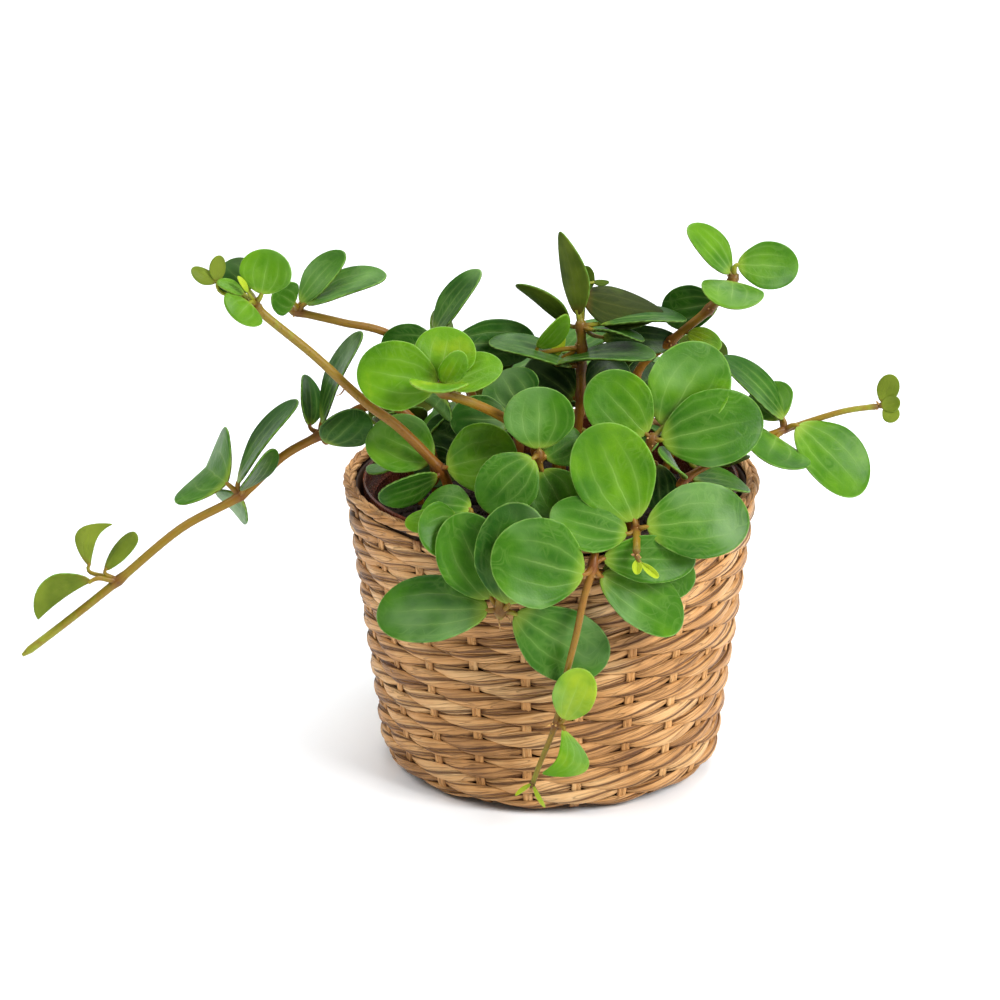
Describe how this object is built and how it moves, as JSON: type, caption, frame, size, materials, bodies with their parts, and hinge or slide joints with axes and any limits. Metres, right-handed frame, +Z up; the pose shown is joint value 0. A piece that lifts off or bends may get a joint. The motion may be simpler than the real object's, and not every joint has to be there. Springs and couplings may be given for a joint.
{
  "type": "potted peperomia",
  "caption": "Trailing peperomia with round fleshy leaves in whorls, in a plastic nursery pot stood in a round woven basket.",
  "frame": {"origin": "middle of the basket's flat foot", "axes": "+Z up, -Y towards the front of the plant, +X to its right along the trailing stems"},
  "size_m": [0.2915, 0.2108, 0.1908],
  "materials": {
    "basket": "matte",
    "rim": "matte",
    "pot": "gloss",
    "soil": "matte",
    "foliage": "satin"
  },
  "bodies": {
    "root": {"basket": "basket", "basket_rim": "rim", "nursery_pot": "pot", "soil": "soil", "shoot_trail_left": "foliage", "shoot_upper_left": "foliage", "shoot_behind_left": "foliage", "shoot_bright": "foliage", "shoot_back_rosette": "foliage", "shoot_dark_left": "foliage", "shoot_upright": "foliage", "shoot_top_right": "foliage", "shoot_trail_right": "foliage", "shoot_right": "foliage", "shoot_front_right": "foliage", "shoot_hanging": "foliage", "shoot_front_left": "foliage", "shoot_front_centre": "foliage", "shoot_low_left": "foliage", "shoot_back_trail_left": "foliage", "shoot_back_trail_right": "foliage", "shoot_back_centre": "foliage", "shoot_back_left": "foliage", "shoot_back_right": "foliage", "shoot_left_side": "foliage", "shoot_right_side": "foliage", "shoot_inner_right": "foliage", "shoot_inner_back": "foliage", "shoot_middle": "foliage", "shoot_inner_left": "foliage"}
  },
  "joints": []
}
